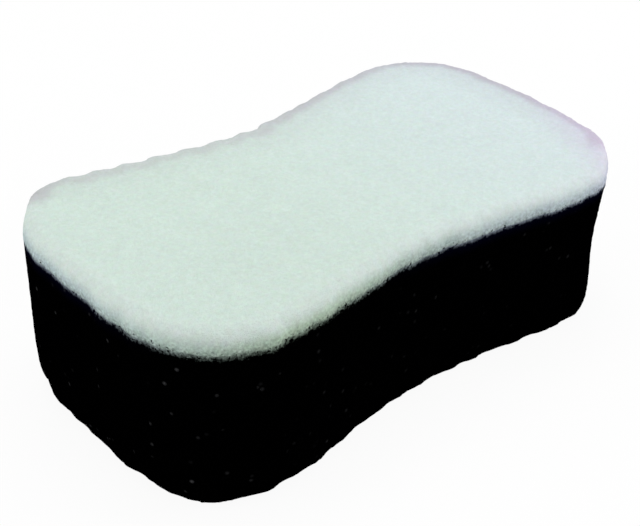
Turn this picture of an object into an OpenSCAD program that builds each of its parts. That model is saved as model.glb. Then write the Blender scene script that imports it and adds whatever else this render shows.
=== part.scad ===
// Cleaning sponge: a thick block of dark open-cell foam with a thin pale foam face bonded over its top.
// Its plan is an hourglass: crowned ends, four round corners, straight flanks and a waist to grip.
// The foot of the block is drawn in a little all round, and the upper edge of the face is rounded.
// Both foams are cut on a slight slope, so the -X end stands higher than the other.
// It lies on z = 0 with its length along X, its width along Y and its middle over the origin.

/* [Plan] */
// Length over the two crowned ends
sponge_l = 200; // [180:1:240]
// Width over the rounded corners, at its widest
end_w = 110; // [90:1:130]
// Depth of the hollow in each long side, from that width to the bottom of the waist
waist_dip = 9; // [4:0.5:10]
// Radius of the curve at the bottom of each hollow
waist_r = 85; // [40:1:110]
// Radius of the four corners
corner_r = 31; // [22:1:34]
// How far each end bulges out past its corners
end_crown = 1.5; // [0.5:0.5:3]

/* [Layers] */
// Height of the dark foam block over the middle of the sponge
block_h = 57; // [30:1:80]
// Thickness of the pale foam face there
face_t = 7; // [6:0.5:15]
// How much higher the top stands at the -X end than over the middle
end_rise = 3.2; // [0:0.2:5]

/* [Edges] */
// How far the foot of the block is drawn in, all round
foot_in = 4; // [0.5:0.5:6]
// Height over which it curves in
foot_h = 16; // [4:1:25]
// Rounding of the upper edge of the pale face
face_edge_r = 5; // [1:0.5:5.5]

/* [Smoothness] */
// Longest straight run in the curves of the plan
plan_step = 4; // [2:0.5:8]
// Bands in the curve of the foot and in the rounded upper edge
edge_bands = 6; // [3:1:12]

/* [Colours] */
// Dark foam
block_color = "#161617"; // [#161617:Black, #3c4146:Charcoal, #2f4a6b:Blue]
// Pale foam
face_color = "#d3e2dc"; // [#d3e2dc:Pale mint, #e9e9e4:White, #f2dc7a:Yellow]

/* [View] */
// The piece that is shown

/* [Hidden] */

// Centre of the corner curve in the quarter of the plan where x and y are positive
corner_x = sponge_l / 2 - end_crown - corner_r;
corner_y = end_w / 2 - corner_r;

// The end curve is centred on the X axis and runs smoothly into the two corner curves of its end
end_reach = sponge_l / 2 - corner_x;
end_r = (end_reach * end_reach + corner_y * corner_y - corner_r * corner_r) / (2 * end_crown);
end_x = sponge_l / 2 - end_r;

// The waist curve is centred on the Y axis, outside the sponge
waist_y = end_w / 2 - waist_dip + waist_r;

// Directions from the corner centre to the end curve's joint and to the straight flank's joint.
// The flank touches the corner curve from outside and the waist curve from inside.
end_joint = atan2(corner_y, corner_x - end_x);
centres_apart = norm([corner_x, waist_y - corner_y]);
flank_joint = atan2(waist_y - corner_y, -corner_x) - acos((corner_r + waist_r) / centres_apart);

// Each curve holds its centre, its radius, its first and last direction,
// and 1 where it bulges out or -1 where it curves in.
// The corner is in two curves, so that one of its points lies just where the sponge is widest.
end_curve = [[end_x, 0], end_r, 0, end_joint, 1];
end_corner = [[corner_x, corner_y], corner_r, end_joint, 90, 1];
flank_corner = [[corner_x, corner_y], corner_r, 90, flank_joint, 1];
waist_curve = [[0, waist_y], waist_r, flank_joint + 180, 270, -1];

// A curve's points after it is moved into the sponge by inset, with as many points at any inset
function curve_steps(curve) = ceil(abs(curve[3] - curve[2]) * PI / 180 * curve[1] / plan_step);

function curve_points(curve, inset) =
    let (steps = curve_steps(curve), r = curve[1] - curve[4] * inset)
    [for (i = [0 : steps])
        let (a = curve[2] + (curve[3] - curve[2]) * i / steps)
        curve[0] + r * [cos(a), sin(a)]];

function without_first(points) = [for (i = [1 : len(points) - 1]) points[i]];

// From the middle of the +X end to the middle of the +Y side
function quarter_plan(inset) = concat(
    curve_points(end_curve, inset),
    without_first(curve_points(end_corner, inset)),
    without_first(curve_points(flank_corner, inset)),
    curve_points(waist_curve, inset)
);

// The same, carried on round the +Y side to the middle of the -X end
function half_plan(inset) =
    let (q = quarter_plan(inset))
    concat(q, [for (i = [len(q) - 2 : -1 : 0]) [-q[i].x, q[i].y]]);

// The whole outline, turning anticlockwise seen from above
function plan(inset) =
    let (h = half_plan(inset))
    concat(h, [for (i = [1 : len(h) - 2]) -h[i]]);

// A flat cap over one outline of n points, in strips that join each point to its mirror image across X
function cap(first, n) = concat(
    [[first, first + 1, first + n - 1]],
    [for (i = [1 : n / 2 - 2]) [first + i, first + i + 1, first + n - i - 1, first + n - i]],
    [[first + n / 2 - 1, first + n / 2, first + n / 2 + 1]]
);

function reversed(list) = [for (i = [len(list) - 1 : -1 : 0]) list[i]];

function turned_over(faces) = [for (f = faces) reversed(f)];

// Height of a level at a distance along X, which grows toward the -X end as the top does
function sloped(z, x) = z * (1 - end_rise / (block_h + face_t) * x / (sponge_l / 2));

// A closed skin through the plan at each level, where a level is a height over the middle and an inset
module loft(levels) {
    n = len(plan(0));
    points = [for (level = levels) for (p = plan(level[1])) [p.x, p.y, sloped(level[0], p.x)]];
    sides = [for (k = [0 : len(levels) - 2]) for (i = [0 : n - 1])
        let (j = (i + 1) % n)
        [k * n + i, (k + 1) * n + i, (k + 1) * n + j, k * n + j]];
    top = turned_over(cap((len(levels) - 1) * n, n));
    polyhedron(points, concat(cap(0, n), sides, top));
}

// Levels of a quarter of an ellipse: upright at height z, and flat once it has risen and come in so far
function quarter_round(z, rise, inset) =
    [for (i = [0 : edge_bands])
        let (a = 90 * i / edge_bands)
        [z + rise * sin(a), inset * (1 - cos(a))]];

module foam_block() {
    foot = reversed(quarter_round(foot_h, -foot_h, foot_in));
    color(block_color) loft(concat(foot, [[block_h, 0]]));
}

// The sides stand flush with the block, and only the upper edge is rounded
module face_layer() {
    upper_edge = quarter_round(block_h + face_t - face_edge_r, face_edge_r, face_edge_r);
    color(face_color) loft(concat([[block_h, 0]], upper_edge));
}

foam_block();
face_layer();
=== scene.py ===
# %% [markdown]
# # A two-layer cleaning sponge
# The sponge is a thick block of black open-cell foam with a thin pale foam face bonded over its top.
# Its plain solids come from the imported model. This script gives them the look of cut foam:
# rippled sides, a soft rim, a ragged joint between the two foams, and cells down to half a millimetre.

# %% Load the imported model
import math
import bpy
from mathutils import Matrix, Vector, noise
from mathutils.kdtree import KDTree


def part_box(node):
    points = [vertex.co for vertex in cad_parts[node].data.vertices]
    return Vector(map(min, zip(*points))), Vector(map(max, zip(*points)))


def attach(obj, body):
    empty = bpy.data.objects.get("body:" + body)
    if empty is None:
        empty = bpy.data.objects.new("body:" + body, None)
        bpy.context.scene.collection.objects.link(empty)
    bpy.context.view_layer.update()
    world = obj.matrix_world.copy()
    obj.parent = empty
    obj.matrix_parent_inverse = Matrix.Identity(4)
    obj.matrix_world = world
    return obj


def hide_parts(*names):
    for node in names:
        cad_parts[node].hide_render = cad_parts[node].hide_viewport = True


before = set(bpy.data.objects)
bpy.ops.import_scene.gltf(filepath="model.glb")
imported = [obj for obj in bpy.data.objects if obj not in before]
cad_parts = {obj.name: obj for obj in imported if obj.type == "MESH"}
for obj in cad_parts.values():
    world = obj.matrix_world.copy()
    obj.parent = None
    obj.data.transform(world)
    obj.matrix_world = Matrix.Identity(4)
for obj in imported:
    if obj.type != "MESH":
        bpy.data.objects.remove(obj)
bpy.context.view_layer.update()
HALF_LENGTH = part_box("foam_block")[1].x
TINY = 1e-4
print(f"a sponge of {HALF_LENGTH * 2000:.0f} mm")

# %% [markdown]
# ## The slope of the top
# The sponge stands taller at its -X end: every height in the solids grows evenly along the length.
# It is easier to work on foam that lies level, so the slope is measured here, taken out of each copy
# before it is worked on, and put back at the end.

# %% Measure the slope
def rim_height(end):
    """How high the block reaches at one end of the length, -1 or 1."""
    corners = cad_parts["foam_block"].data.vertices
    return max(p.co.z for p in corners if p.co.x * end > HALF_LENGTH - TINY)


def level_height(at):
    """Height of a place in the solids once they lie level."""
    return at.z / (1 - TOP_SLOPE * at.x / HALF_LENGTH)


JOINT_Z = (rim_height(-1) + rim_height(1)) / 2
TOP_SLOPE = rim_height(-1) / JOINT_Z - 1
TOP_Z = max(level_height(p.co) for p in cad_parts["face_layer"].data.vertices)
print(f"joint at {JOINT_Z * 1000:.1f} mm, top at {TOP_Z * 1000:.1f} mm, slope {TOP_SLOPE:.3f}")

# %% [markdown]
# ## The camera
# The camera was matched to the photograph by fitting the outline of the sponge: it stands over the
# near left corner, looks down at 34 degrees and leans by a degree. A long lens keeps the
# far end nearly as wide as the near one.

# %% Place the camera
CAMERA_AZIMUTH = math.radians(-41.5)
CAMERA_ELEVATION = math.radians(34.4)
CAMERA_LEAN = math.radians(1.0)
CAMERA_DISTANCE = 0.5369
CAMERA_ASIDE = -0.0027
CAMERA_RAISED = 0.0234
CAMERA_LENS = 84.7
CAMERA_SENSOR = 36
CAMERA_NEAREST = 0.01

back = Vector((
    math.sin(CAMERA_AZIMUTH) * math.cos(CAMERA_ELEVATION),
    -math.cos(CAMERA_AZIMUTH) * math.cos(CAMERA_ELEVATION),
    math.sin(CAMERA_ELEVATION),
))
level_right = Vector((math.cos(CAMERA_AZIMUTH), math.sin(CAMERA_AZIMUTH), 0))
level_up = back.cross(level_right)
right = math.cos(CAMERA_LEAN) * level_right + math.sin(CAMERA_LEAN) * level_up
up = math.cos(CAMERA_LEAN) * level_up - math.sin(CAMERA_LEAN) * level_right
place = right * CAMERA_ASIDE + up * CAMERA_RAISED + back * CAMERA_DISTANCE

camera = bpy.data.objects.new("camera", bpy.data.cameras.new("camera"))
camera.data.lens = CAMERA_LENS
camera.data.sensor_width = CAMERA_SENSOR
camera.data.clip_start = CAMERA_NEAREST
camera.matrix_world = Matrix.Translation(place) @ Matrix((right, up, back)).transposed().to_4x4()
bpy.context.scene.collection.objects.link(camera)
bpy.context.scene.camera = camera
print("camera at", [round(v, 3) for v in place])

# %% [markdown]
# ## One skin for both foams
# The maker glues two slabs and then cuts the outline through both, so the foams meet without a step.
# A sponge isn't sewn or stuffed, and has nothing for a cloth simulation to fill. Here it is made in the
# maker's order: the plain solids are copied and laid level, the glued faces between them are taken out,
# and a voxel remesh turns the whole into small even faces with softened edges.

# %% Lay copies of the plain solids level
def level_copy(node):
    piece = bpy.data.objects.new(node + "_copy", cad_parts[node].data.copy())
    bpy.context.scene.collection.objects.link(piece)
    piece.data.materials.clear()
    for corner in piece.data.vertices:
        corner.co.z = level_height(corner.co)
    return piece


whole = level_copy("foam_block")
upper_slab = level_copy("face_layer")
print(f"copied {whole.name} and {upper_slab.name}")

# %% Glue them and take out the faces between them
WELD_DISTANCE = 1e-6


def pick_only(*pieces):
    bpy.ops.object.select_all(action="DESELECT")
    for piece in pieces:
        piece.select_set(True)
    bpy.context.view_layer.objects.active = pieces[0]


pick_only(whole, upper_slab)
bpy.ops.object.join()
bpy.ops.object.mode_set(mode="EDIT")
bpy.ops.mesh.select_mode(type="FACE")
bpy.ops.mesh.select_all(action="SELECT")
bpy.ops.mesh.remove_doubles(threshold=WELD_DISTANCE)
bpy.ops.mesh.select_all(action="DESELECT")
bpy.ops.object.mode_set(mode="OBJECT")
corners = whole.data.vertices
for face in whole.data.polygons:
    face.select = all(abs(corners[i].co.z - JOINT_Z) < TINY for i in face.vertices)
glued = sum(face.select for face in whole.data.polygons)
bpy.ops.object.mode_set(mode="EDIT")
bpy.ops.mesh.delete(type="FACE")
bpy.ops.mesh.select_all(action="SELECT")
bpy.ops.mesh.normals_make_consistent(inside=False)
bpy.ops.object.mode_set(mode="OBJECT")
print(f"{glued} glued faces taken out")

# %% Remesh the whole into one fine skin
FACE_SIZE = 0.0009
remesh = whole.modifiers.new("even faces", "REMESH")
remesh.mode = "VOXEL"
remesh.voxel_size = FACE_SIZE
bpy.ops.object.modifier_apply(modifier=remesh.name)
print(f"{len(whole.data.polygons)} faces in the skin")

# %% [markdown]
# ## Ripples and crumbs
# The blade that cuts the outline drags on the foam and leaves shallow upright ripples, which both
# foams share because they are cut together. Here it dragged more at the foot, and it chattered along the
# back toward the -X end, which left scallops there. On top of the ripples the torn cells leave a
# fine roughness. Displace modifiers could do this. Moving the points in code keeps the base flat and
# the ripples upright.

# %% Say how deep the blade bit where it chattered
CHATTER_STEP = 0.0112
CHATTER_DEPTH = 0.0013
CHATTER_CHANGE = 0.6
CHATTER_MIDDLE = -0.0220
CHATTER_REACH = 0.047
CHATTER_FADE = 0.006
BACK_START = 0.020
BACK_FADE = 0.010


def eased(value):
    """0 well below zero, 1 well above it, and eased in between."""
    return 0.5 + 0.5 * math.tanh(value)


def chatter(at):
    """Scallops bitten inward, some deeper than others, along the back toward the -X end only."""
    aside = at.x - CHATTER_MIDDLE
    there = eased((CHATTER_REACH - abs(aside)) / CHATTER_FADE)
    toward_back = eased((at.y - BACK_START) / BACK_FADE)
    bite = 1 + CHATTER_CHANGE * noise.noise(Vector((at.x, 0, 0)) / CHATTER_STEP)
    return CHATTER_DEPTH * bite * there * toward_back * (math.cos(math.tau * aside / CHATTER_STEP) - 1)


print(f"scallops every {CHATTER_STEP * 1000:.1f} mm")

# %% Roughen the skin
RIPPLE_LENGTH = 0.0075
RIPPLE_DEPTH = 0.0013
RIPPLE_SEED = Vector((44.3, -9.9, 0.25))
FOOT_DRAG = 0.8
CRUMB_LENGTH = 0.0016
CRUMB_DEPTH = 0.00025
CRUMB_SEED = Vector((9.1, 4.6, 2.2))
FLAT_MARGIN = 0.0008


def rough(at, out):
    """A point moved by the ripples and scallops, along its sideways direction, and by the crumbs."""
    plan = Vector((at.x, at.y, 0)) / RIPPLE_LENGTH + RIPPLE_SEED
    foot_drag = 1 + FOOT_DRAG * max(1 - at.z / JOINT_Z, 0)
    ripple = RIPPLE_DEPTH * foot_drag * noise.noise(plan) + chatter(at)
    crumb = 0 if at.z < FLAT_MARGIN else CRUMB_DEPTH * noise.noise(at / CRUMB_LENGTH + CRUMB_SEED)
    return at + ripple * Vector((out.x, out.y, 0)) + crumb * out


def move_points(mesh, places):
    for point, place in zip(mesh.vertices, places):
        point.co = place
    mesh.update()


move_points(whole.data, [rough(p.co, p.normal) for p in whole.data.vertices])
print(f"roughened {len(whole.data.vertices)} points")

# %% [markdown]
# ## A little out of true
# Foam gives under the blade, so this sponge is a little bent: both its ends lie further back than its
# middle. The waist of the back lies nearer the -X end. At the +X end the cut is a little slanted, and
# the near flank there leans in at the bottom. Its near corner is hollow above the foot. That corner and
# the one across from it are cut a little flat, and the foot at the back of the -X end is tucked in
# further. A lattice could bend the skin so. A few sums on each point say it more plainly, and put the
# slope back too.

# %% Say where the blade cut two corners flat
FLAT_FACING = Vector((-0.749, 0.663, 0))
FLAT_FROM = 0.0963
FLATNESS = 0.8


def cut_flat(at):
    """A point drawn in where it stands out past the flats of the two corners."""
    toward_corner = at.dot(FLAT_FACING)
    beyond = max(abs(toward_corner) - FLAT_FROM, 0) * FLATNESS
    return at - math.copysign(beyond, toward_corner) * FLAT_FACING


print(f"corners cut flat {FLAT_FROM * 1000:.1f} mm from the middle")

# %% Say how the rest of this sponge is out of true
HALF_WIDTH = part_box("foam_block")[1].y
BEND = 0.0030
BEND_BALANCE = 0.5
WAIST_SHIFT = 0.0070
END_SLANT = 0.0012
FLANK_LEAN = 0.0030
UPRIGHT_SHARE = 0.75
LEAN_START = 4
CORNER_HOLLOW = 0.0020
HOLLOW_FROM = 0.10
FOOT_TUCK = 0.0014
TUCK_HEIGHT = 0.020


def out_of_true(at):
    """A point of the level foam, as it lies in this sponge."""
    along = at.x / HALF_LENGTH
    across = at.y / HALF_WIDTH
    share_up = min(at.z / JOINT_Z, 1)
    toward_end = max(along, 0) ** 2
    near = max(-across, 0)
    far = max(across, 0)
    bend = BEND * (along * along - BEND_BALANCE)
    shift = WAIST_SHIFT * (1 - along * along) * far
    slant = END_SLANT * across * toward_end
    past_waist = eased(LEAN_START * along)
    lean = FLANK_LEAN * (UPRIGHT_SHARE - share_up) * near * past_waist * (1 - toward_end)
    hollow_wave = math.sin(math.pi * (share_up - HOLLOW_FROM) / (1 - HOLLOW_FROM))
    hollow = CORNER_HOLLOW * hollow_wave * near * toward_end
    low = max(1 - at.z / TUCK_HEIGHT, 0)
    tuck = FOOT_TUCK * low * (2 - low) * max(-along, 0) ** 2 * (1 + across) / 2
    sideways = at.x - slant - shift - hollow * along + tuck
    backward = at.y + bend + lean + hollow
    return cut_flat(Vector((sideways, backward, at.z * (1 - TOP_SLOPE * along))))


print(f"ends {BEND * 1000:.1f} mm further back, back waist shifted by {WAIST_SHIFT * 1000:.1f} mm")

# %% [markdown]
# ## Two pieces
# The skin is parted at the joint with Bisect, which also closes each cut. A Boolean could part it too,
# but Bisect is quicker on so many faces. The edge of the cut is marked sharp, so that smooth shading
# stays on the outside, and each piece is then put out of true.

# %% Part the foams at the joint
def part_off(name, upper):
    piece = bpy.data.objects.new(name, whole.data.copy())
    bpy.context.scene.collection.objects.link(piece)
    pick_only(piece)
    bpy.ops.object.mode_set(mode="EDIT")
    bpy.ops.mesh.select_all(action="SELECT")
    bpy.ops.mesh.bisect(
        plane_co=(0, 0, JOINT_Z), plane_no=(0, 0, 1),
        use_fill=True, clear_inner=upper, clear_outer=not upper,
    )
    bpy.ops.mesh.mark_sharp()
    bpy.ops.mesh.quads_convert_to_tris()
    bpy.ops.object.mode_set(mode="OBJECT")
    move_points(piece.data, [out_of_true(p.co) for p in piece.data.vertices])
    piece.data.shade_smooth()
    print(f"{name}: {len(piece.data.polygons)} faces")
    return piece


block = part_off("black_foam_block", upper=False)
layer = part_off("pale_foam_face", upper=True)
bpy.data.objects.remove(whole)

# %% [markdown]
# ## Shader arithmetic
# A material's nodes are easier to read as sums. `Wire` wraps a socket, and adding or multiplying
# wires adds the Math nodes that do it. `Finish` starts a material and adds any other node.

# %% Write materials as expressions
class Wire:
    def __init__(self, finish, socket):
        self.finish = finish
        self.socket = socket

    def __add__(self, other):
        return self.finish.sum_up("ADD", self, other)

    def __sub__(self, other):
        return self.finish.sum_up("SUBTRACT", self, other)

    def __rsub__(self, other):
        return self.finish.sum_up("SUBTRACT", other, self)

    def __mul__(self, other):
        return self.finish.sum_up("MULTIPLY", self, other)

    def __truediv__(self, other):
        return self.finish.sum_up("DIVIDE", self, other)

    __radd__ = __add__
    __rmul__ = __mul__


class Finish:
    NO_CAST = (1, 1, 1, 1)

    def __init__(self, name, **fixed):
        self.material = bpy.data.materials.new(name)
        self.material.use_nodes = True
        self.tree = self.material.node_tree
        self.shader = self.tree.nodes["Principled BSDF"]
        self.feed(**fixed)

    def join(self, socket, value):
        if isinstance(value, Wire):
            self.tree.links.new(value.socket, socket)
        else:
            socket.default_value = value

    def feed(self, **sockets):
        for socket, value in sockets.items():
            self.join(self.shader.inputs[socket.replace("_", " ")], value)

    def add(self, kind, settings, inputs, output=0):
        node = self.tree.nodes.new(kind)
        for setting, value in settings.items():
            setattr(node, setting, value)
        for socket, value in inputs.items():
            self.join(node.inputs[socket], value)
        return Wire(self, node.outputs[output])

    def sum_up(self, operation, first, second=0.0):
        return self.add("ShaderNodeMath", {"operation": operation}, {0: first, 1: second})

    def step_between(self, value, start, end):
        """0 at start, 1 at end, eased in between. Start may be above end."""
        inputs = {"Value": value, "From Min": start, "From Max": end}
        return self.add("ShaderNodeMapRange", {"interpolation_type": "SMOOTHSTEP"}, inputs)

    def place(self):
        return self.add("ShaderNodeTexCoord", {}, {}, "Object")

    def along(self, axis):
        return self.add("ShaderNodeSeparateXYZ", {}, {0: self.place()}, axis)

    def level(self):
        """Height in the level foam, before the slope was put back."""
        return self.along("Z") / (1 - self.along("X") * (TOP_SLOPE / HALF_LENGTH))

    def scale(self, value, factor):
        """A place or a colour multiplied by a number."""
        inputs = {0: value if isinstance(value, Wire) else value[:3], "Scale": factor}
        return self.add("ShaderNodeVectorMath", {"operation": "SCALE"}, inputs)

    def times(self, colour, by):
        """Two colours multiplied, each of red, green and blue by itself."""
        return self.add("ShaderNodeVectorMath", {"operation": "MULTIPLY"}, {0: colour, 1: by})

    def blend(self, share, first, second):
        """Colour first where share is 0, second where it is 1."""
        inputs = {0: share, 6: first, 7: second}
        return self.add("ShaderNodeMix", {"data_type": "RGBA"}, inputs, 2)

    def cast(self, share, colour, by):
        """A colour, multiplied by another where share is 1."""
        return self.times(colour, self.blend(share, self.NO_CAST, by))

    def clouds(self, size, detail=2.0, roughness=0.5):
        """Smooth noise about 0.5, with blotches of about this size in metres."""
        inputs = {"Vector": self.scale(self.place(), 1 / size), "Scale": 1.0,
                  "Detail": detail, "Roughness": roughness}
        return self.add("ShaderNodeTexNoise", {}, inputs, "Fac")

    def waver(self, size, strength, detail=2.0, roughness=0.5):
        """The same noise about zero, made stronger or weaker."""
        return (self.clouds(size, detail, roughness) - 0.5) * strength

    def cells(self, size, feature="F1", output="Distance"):
        inputs = {"Vector": self.scale(self.place(), 1 / size), "Scale": 1.0}
        return self.add("ShaderNodeTexVoronoi", {"feature": feature}, inputs, output)

    def bumps(self, height, depth, strength):
        """Normals from a height from 0 to 1 that stands for this many metres."""
        inputs = {"Height": height, "Distance": depth, "Strength": strength}
        return self.add("ShaderNodeBump", {}, inputs, "Normal")


print("wires ready")

# %% Turn screen colours into shader colours
def linear(level):
    """A level that a screen shows, from 0 to 255, as the light it gives by the sRGB rule."""
    share = level / 255
    return share / 12.92 if level <= 10 else ((share + 0.055) / 1.055) ** 2.4


def shade(red, green, blue):
    return linear(red), linear(green), linear(blue), 1


print("middle grey is", round(linear(128), 3))

# %% [markdown]
# ## The torn joint
# Where the two foams are bonded, pale threads thin out over the black, and black crumbs stick to the
# pale foam above. The blade tore most round one corner and the flank next to it, and in patches
# elsewhere. Both materials read one pattern of height and noise, so it carries on across the joint.
# Modelling each crumb would take far more faces than the eye can see.

# %% Say how far from the torn corner a place is
TORN_CORNER = (-0.060, -0.055)


def from_torn_corner(finish):
    aside = finish.along("X") - TORN_CORNER[0]
    back_off = finish.along("Y") - TORN_CORNER[1]
    return finish.sum_up("SQRT", aside * aside + back_off * back_off)


print(f"torn round {TORN_CORNER}")

# %% Say how ragged the joint is
TORN_PATCH = 0.014
PATCH_STEP = (0.42, 0.60)
PATCH_PULL = 0.02
RAGGED_STEP = (0.060, 0.025)


def torn_patches(finish):
    return finish.step_between(finish.clouds(TORN_PATCH, detail=1.0), *PATCH_STEP)


def raggedness(finish, patches):
    """1 round the torn corner, 0 away from it, with an uneven border."""
    return finish.step_between(from_torn_corner(finish) - patches * PATCH_PULL, *RAGGED_STEP)


print(f"ragged within {RAGGED_STEP[1] * 1000:.0f} mm, clean past {RAGGED_STEP[0] * 1000:.0f} mm")

# %% Say which foam shows near the joint
TORN_SHIFT = -0.0003
TORN_GRAIN = 0.0010
TORN_ROUGHNESS = 0.6
CLEAN_REACH = 0.0018
RAGGED_REACH = 0.0038
CLEAN_SOFTNESS = 0.0014
RAGGED_SOFTNESS = 0.0018
CRUMB_GRAIN = 0.0012
CRUMB_FLOOR = 0.08
CRUMB_STEP = (-0.03, 0.09)
CLEAN_CRUMBS = 0.0120
RAGGED_CRUMBS = 0.0205
PATCH_CRUMBS = 0.5


def pale_share(finish):
    """1 where the pale foam shows, 0 where the black does."""
    above = finish.level() - JOINT_Z - TORN_SHIFT
    patches = torn_patches(finish)
    ragged = raggedness(finish, patches)
    reach = CLEAN_REACH + ragged * (RAGGED_REACH - CLEAN_REACH)
    softness = CLEAN_SOFTNESS + ragged * (RAGGED_SOFTNESS - CLEAN_SOFTNESS)
    torn = above - finish.waver(TORN_GRAIN, reach, roughness=TORN_ROUGHNESS)
    share = finish.step_between(torn / softness, -1.0, 1.0)
    patchiness = 1 - PATCH_CRUMBS + patches * PATCH_CRUMBS
    crumb_reach = CLEAN_CRUMBS + ragged * patchiness * (RAGGED_CRUMBS - CLEAN_CRUMBS)
    speckle = finish.waver(CRUMB_GRAIN, 1.0, detail=1.5, roughness=TORN_ROUGHNESS) - CRUMB_FLOOR
    crumb = finish.step_between(speckle - above / crumb_reach, *CRUMB_STEP)
    return share * (1 - crumb)


print(f"crumbs up to {RAGGED_CRUMBS * 1000:.1f} mm above the joint")

# %% [markdown]
# ## The pale foam
# The face is a fine foam, pale mint with a cooler far end. Its rim is a touch pinker, and painted light
# makes its side greener round the torn corner and bluer away from it. The width of the rim has to follow
# the outline, which no plain coordinate does. So each point of the face is given its distance from the
# side, and the material reads that.

# %% Measure how far each point of the face is from its rim
SIDE_FACING = 0.35
points = layer.data.vertices
sides = [p.co for p in points
         if abs(p.normal.z) < SIDE_FACING and level_height(p.co) > JOINT_Z + FLAT_MARGIN]
rim_tree = KDTree(len(sides))
for number, at in enumerate(sides):
    rim_tree.insert((at.x, at.y, 0), number)
rim_tree.balance()
from_rim = layer.data.attributes.new("from_rim", "FLOAT", "POINT")
from_rim.data.foreach_set("value", [rim_tree.find((p.co.x, p.co.y, 0))[2] for p in points])
print(f"rim found from {len(sides)} points")

# %% Paint the top, the rim and the side of the pale foam
MINT = shade(207, 224, 215)
COOL_MINT = shade(213, 226, 228)
COOL_STEP = (-0.05, 0.12)
RIM_PINK = shade(217, 221, 222)
RIM_WIDTH = 0.009
RIM_SHARE = 0.28
SIDE_STEP = (TOP_Z - 0.0015, TOP_Z - 0.0055)
# Painted light: the side is tinted greener round the torn corner and bluer away from it.
GREEN_SIDE_LIGHT = (0.975, 1.04, 0.90, 1)
BLUE_SIDE_LIGHT = (0.98, 1.0, 1.06, 1)
BLUE_DISTANCE = 0.090

pale = Finish("pale_foam", Roughness=1.0, Specular_IOR_Level=0.08)
foam_colour = pale.blend(pale.step_between(pale.along("X"), *COOL_STEP), MINT, COOL_MINT)
rim_distance = pale.add("ShaderNodeAttribute", {"attribute_name": "from_rim"}, {}, "Fac")
on_side = pale.step_between(pale.level(), *SIDE_STEP)
rim = pale.step_between(rim_distance, RIM_WIDTH, 0.0) * RIM_SHARE * (1 - on_side)
foam_colour = pale.blend(rim, foam_colour, RIM_PINK)
side_light_blueness = pale.step_between(from_torn_corner(pale), 0.0, BLUE_DISTANCE)
foam_colour = pale.cast(on_side, foam_colour, pale.blend(side_light_blueness, GREEN_SIDE_LIGHT, BLUE_SIDE_LIGHT))
print("top, rim and side painted")

# %% [markdown]
# ## Painted light and shade over the pale foam
# The far rim has a line of painted shade, tinted lavender, with a softer band of it inside, strongest
# at its two ends, and the corner at +X and -Y is lavender too. Painted light makes the side lighter and
# bluer toward both ends, and a faint mix of pink, green, blue and yellow runs all over, as the cells
# scatter the light. Coloured lamps could not hold to a line so thin. Each cast is a colour that
# multiplies the foam's own.

# %% Paint shade, tinted lavender, over the far rim, and cast lavender over the tip
FAR_RIM_SHADE = (0.76, 0.65, 0.73, 1)
FAR_SLANT = 0.49
FAR_STEP = (-0.004, 0.008)
FAR_LEAST = 0.46
FAR_DIP = -0.035
FAR_DIP_STEP = (0.02, 0.06)
FAR_DIP_GAIN = 0.27
FAR_END_STEP = (0.070, 0.090)
FAR_END_GAIN = 0.20
FAR_SIDE_LOSS = 0.6
FAR_FULL = 0.0042
LINE_EDGE = 0.0085
LINE_SHARE = 0.7
BAND_EDGE = 0.0220
BAND_SHARE = 0.3
TIP_CAST = (1.0, 0.88, 1.0, 1)
TIP_FACING = (0.906, -0.423)
TIP_STEP = (0.080, 0.100)

toward_tip = pale.along("X") * TIP_FACING[0] + pale.along("Y") * TIP_FACING[1]
tip = pale.step_between(toward_tip, *TIP_STEP)
off_middle = pale.sum_up("ABSOLUTE", pale.along("X"))
off_dip = pale.sum_up("ABSOLUTE", pale.along("X") - FAR_DIP)
far_strength = (FAR_LEAST + pale.step_between(off_dip, *FAR_DIP_STEP) * FAR_DIP_GAIN
                + pale.step_between(off_middle, *FAR_END_STEP) * FAR_END_GAIN)
far_side = pale.step_between(pale.along("Y") + pale.along("X") * FAR_SLANT, *FAR_STEP)
far_share = far_side * far_strength * (1 - on_side * FAR_SIDE_LOSS)
# Painted shade, tinted lavender: a line along the far rim and a softer band inside it.
far_shade_line = pale.step_between(rim_distance, LINE_EDGE, FAR_FULL) * LINE_SHARE
far_shade_band = pale.step_between(rim_distance, BAND_EDGE, FAR_FULL) * BAND_SHARE
painted_far_shade = (far_shade_line + far_shade_band * (1 - tip)) * far_share
foam_colour = pale.cast(painted_far_shade, foam_colour, FAR_RIM_SHADE)
foam_colour = pale.cast(tip, foam_colour, TIP_CAST)
print("lavender cast")

# %% Paint light on the ends of the side, and cast the fine tinges
END_SIDE_LIGHT = (1.07, 1.07, 1.13, 1)
END_START = 0.060
PINK_TINGE = (1.045, 0.97, 1.02, 1)
GREEN_TINGE = (0.955, 1.03, 0.98, 1)
PINK_SIZE = 0.0017
BLUE_TINGE = (1, 1, 1.06, 1)
YELLOW_TINGE = (1, 1, 0.94, 1)
BLUE_SIZE = PINK_SIZE * 1.3

# Painted light: the side lighter and bluer toward both ends.
endness = pale.step_between(off_middle, END_START, HALF_LENGTH)
foam_colour = pale.cast(endness * on_side, foam_colour, END_SIDE_LIGHT)
pink_or_green = pale.blend(pale.clouds(PINK_SIZE, detail=1.5), PINK_TINGE, GREEN_TINGE)
blue_or_yellow = pale.blend(pale.clouds(BLUE_SIZE, detail=1.5), BLUE_TINGE, YELLOW_TINGE)
foam_colour = pale.times(pale.times(foam_colour, pink_or_green), blue_or_yellow)
print("ends and tinges cast")
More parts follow.
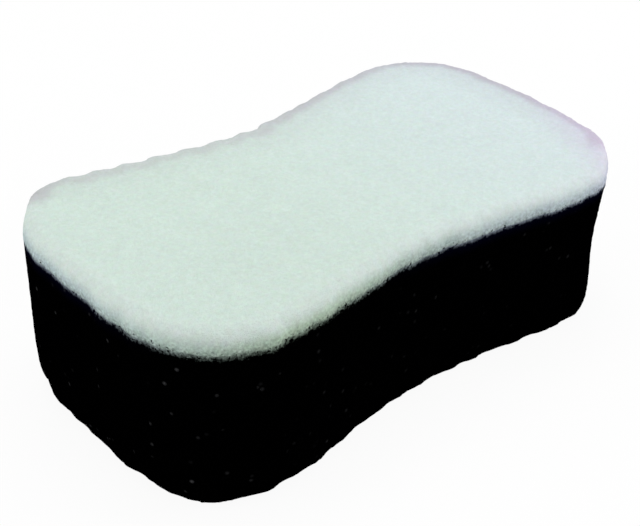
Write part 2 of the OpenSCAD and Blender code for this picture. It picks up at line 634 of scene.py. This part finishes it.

# %% [markdown]
# ## The grain and painted shade of the pale foam
# The cells are about half a millimetre across: they read as a soft grain, with painted light on a few
# bright walls and painted shade in the hollows, over flecks, blotches and patches of a few sizes. The
# foam is thin enough near the joint for the black behind it to grey it, and painted shade darkens it
# further there and makes it a touch darker by the torn corner. Cells modelled one by one would run to
# millions of faces, so noise darkens the colour and a bump roughens it.

# %% Grain the pale foam and paint its shade
BLACK = (0.00015, 0.00015, 0.00018, 1)
PALE_CELL = 0.00055
PALE_WALL = 0.35
GRAIN_LIFT = 1.045
PALE_HOLLOW_SHADE = 0.09
FLECK_SIZE = 0.0014
FLECK_GRAIN = 0.14
BLOTCH_SIZE = 0.0030
BLOTCH_GRAIN = 0.08
PATCH_SIZE = 0.014
PATCH_GRAIN = 0.04
GREYED_HEIGHT = 0.0060
GREYED_SHARE = 0.42
MOTTLE_SIZE = 0.0009
MOTTLE_SHARE = 0.9
NEAR_STEP = (0.075, 0.020)
NEAR_SHADE = 0.02
PALE_FUZZ = 0.0008
PALE_RELIEF = 0.0003
PALE_BUMPINESS = 0.6

walls = pale.step_between(pale.cells(PALE_CELL, "DISTANCE_TO_EDGE"), 0.0, PALE_WALL)
flecks = pale.waver(FLECK_SIZE, FLECK_GRAIN, detail=1.0)
blotches = pale.waver(BLOTCH_SIZE, BLOTCH_GRAIN)
patches = pale.waver(PATCH_SIZE, PATCH_GRAIN, detail=1.0)
# Painted light and shade: the cell walls lighter than the hollows, under the random grain.
grain_and_cell_shade = GRAIN_LIFT - walls * PALE_HOLLOW_SHADE + flecks + blotches + patches
greyness = GREYED_SHARE + pale.waver(MOTTLE_SIZE, MOTTLE_SHARE, detail=1.5)
# Darker toward the joint, partly the black showing through and partly painted shade.
greyed_and_shaded = 1 - pale.step_between(pale.level(), JOINT_Z + GREYED_HEIGHT, JOINT_Z) * greyness
# Painted shade: a touch darker by the torn corner.
near_shade = 1 - pale.step_between(from_torn_corner(pale), *NEAR_STEP) * NEAR_SHADE
foam_colour = pale.scale(foam_colour, grain_and_cell_shade * greyed_and_shaded * near_shade)
pale_height = (walls + pale.clouds(PALE_FUZZ)) / 2
pale.feed(
    Base_Color=pale.blend(pale_share(pale), BLACK, foam_colour),
    Normal=pale.bumps(pale_height, PALE_RELIEF, PALE_BUMPINESS),
)
layer.data.materials.append(pale.material)
print("pale foam grained")

# %% [markdown]
# ## The black foam
# The block is a coarser foam, so black that its cells hardly show, with its hollows painted darker than
# its walls as shade. Here and there a cell wall faces the light and glints, most brightly at the -X end
# of the sponge. Grey specks on a few cells do that from any side, and the bump gives the rest of the cut
# face its open, matt grain. Just under the joint the black has a tinge of navy, except round the torn
# corner.
# The pale threads that hang over it are darkened partly by the black behind them and partly by painted
# shade, and painted light makes them greener round the torn corner than further away.

# %% Start the black foam
BLACK_CELL = 0.0011
BLACK_WALL = 0.30
WALL_GLOW = 1.5
HOLLOW_DARKENING = 1.2
NAVY = shade(2, 2, 17)
NAVY_DEPTH = 0.0060
NAVY_STEP = (0.035, 0.075)

black = Finish("black_foam", Roughness=1.0, Specular_IOR_Level=0.0)
hollow = black.step_between(black.cells(BLACK_CELL, "DISTANCE_TO_EDGE"), 0.0, BLACK_WALL)
# Painted shade: the cell hollows darker than the walls.
black_colour = black.scale(BLACK, WALL_GLOW - hollow * HOLLOW_DARKENING)
under_joint = black.step_between(black.level(), JOINT_Z - NAVY_DEPTH, JOINT_Z)
off_torn = black.step_between(from_torn_corner(black), *NAVY_STEP)
black_colour = black.blend(under_joint * off_torn, black_colour, NAVY)
print("black foam started")

# %% Add the glints and the pale threads
GLINT = shade(80, 80, 82)
GLINT_CELL = 0.0020
GLINT_LOT = (0.942, 1.03)
GLINT_CORE = 0.50
GLINT_END_STEP = (-0.098, -0.060)
GLINT_LOSS = 0.80
SHADED_GREEN_THREAD = shade(150, 168, 152)
SHADED_BLUE_THREAD = shade(149, 160, 174)
BLACK_RELIEF = 0.0006
BLACK_BUMPINESS = 0.8
BLACK_FUZZ = 0.0016
FUZZ_SHARE = 0.5
HOLLOW_SHARE = -0.7

cell_colour = black.cells(GLINT_CELL, output="Color")
cell_lot = black.add("ShaderNodeSeparateColor", {}, {0: cell_colour}, "Green")
core = black.step_between(black.cells(GLINT_CELL), GLINT_CORE, 0.0)
brightness = 1 - black.step_between(black.along("X"), *GLINT_END_STEP) * GLINT_LOSS
glints = black.step_between(cell_lot, *GLINT_LOT) * core * brightness
black_colour = black.blend(glints, black_colour, GLINT)
# The pale threads carry painted shade, and painted light tints them greener round the torn corner and
# bluer away from it.
thread_side_light = black.step_between(from_torn_corner(black), 0.0, BLUE_DISTANCE)
shaded_thread = black.blend(thread_side_light, SHADED_GREEN_THREAD, SHADED_BLUE_THREAD)
black_height = hollow * HOLLOW_SHARE + black.clouds(BLACK_FUZZ, detail=3.0) * FUZZ_SHARE
black.feed(
    Base_Color=black.blend(pale_share(black), black_colour, shaded_thread),
    Normal=black.bumps(black_height, BLACK_RELIEF, BLACK_BUMPINESS),
)
block.data.materials.append(black.material)
print("black foam painted")

# %% [markdown]
# ## Fixing the foams to the model
# Both pieces ride on the model's one body and stand for its plain solids. They are foam pads, filled
# tight.

# %% Ride and replace
for piece, node, slot_name in ((block, "foam_block", "black_foam"), (layer, "face_layer", "pale_foam")):
    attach(piece, "root")
    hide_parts(node)
print("pieces fixed")

# %% [markdown]
# ## Floor and light
# The sponge lies on a plain white floor. The camera sees most of the floor at full white, and a share
# of it as it is lit, so a soft shadow stays under the sponge. A broad lamp overhead lights the top,
# and two dimmer ones light the sides, which leaves the near corner darkest.

# %% Lay the floor
FLOOR_SIZE = 8.0
SEEN_WHITE = 0.93
bpy.ops.mesh.primitive_plane_add(size=FLOOR_SIZE, location=(0, 0, 0))
floor = bpy.context.active_object
floor.name = "floor"
paper = Finish("white_paper", Roughness=1.0, Specular_IOR_Level=0.0, Base_Color=shade(246, 246, 246))
white = paper.add("ShaderNodeEmission", {}, {"Color": (1, 1, 1, 1), "Strength": 1.0}, "Emission")
seen = paper.add("ShaderNodeLightPath", {}, {}, "Is Camera Ray")
lit = Wire(paper, paper.shader.outputs["BSDF"])
cover = paper.add("ShaderNodeMixShader", {}, {0: seen * SEEN_WHITE, 1: lit, 2: white}, "Shader")
paper.join(paper.tree.nodes["Material Output"].inputs["Surface"], cover)
floor.data.materials.append(paper.material)
print(f"floor of {FLOOR_SIZE:.0f} m laid")

# %% Hang the lamps
LAMP_TARGET = Vector((0, 0, 0.03))
LAMPS = {
    "overhead_lamp": {"place": (0.1, 0.25, 1.5), "size": 1.0, "watts": 9.0},
    "left_lamp": {"place": (-1.2, 0.5, 0.5), "size": 0.6, "watts": 3.5},
    "right_lamp": {"place": (1.0, -0.7, 0.5), "size": 0.6, "watts": 5.0},
}


def hang_lamp(name, place, size, watts):
    light = bpy.data.objects.new(name, bpy.data.lights.new(name, "AREA"))
    light.data.shape = "DISK"
    light.data.size = size
    light.data.energy = watts
    light.location = place
    light.rotation_euler = (LAMP_TARGET - Vector(place)).to_track_quat("-Z", "Y").to_euler()
    bpy.context.scene.collection.objects.link(light)


for lamp_name, lamp in LAMPS.items():
    hang_lamp(lamp_name, **lamp)
print(f"{len(LAMPS)} lamps hung")

# %% Light the room
ROOM_LIGHT = 0.55
world = bpy.data.worlds.new("studio")
bpy.context.scene.world = world
world.use_nodes = True
background = world.node_tree.nodes["Background"]
background.inputs["Color"].default_value = (1, 1, 1, 1)
background.inputs["Strength"].default_value = ROOM_LIGHT
bpy.context.scene.view_settings.view_transform = "Standard"
print("room lit")
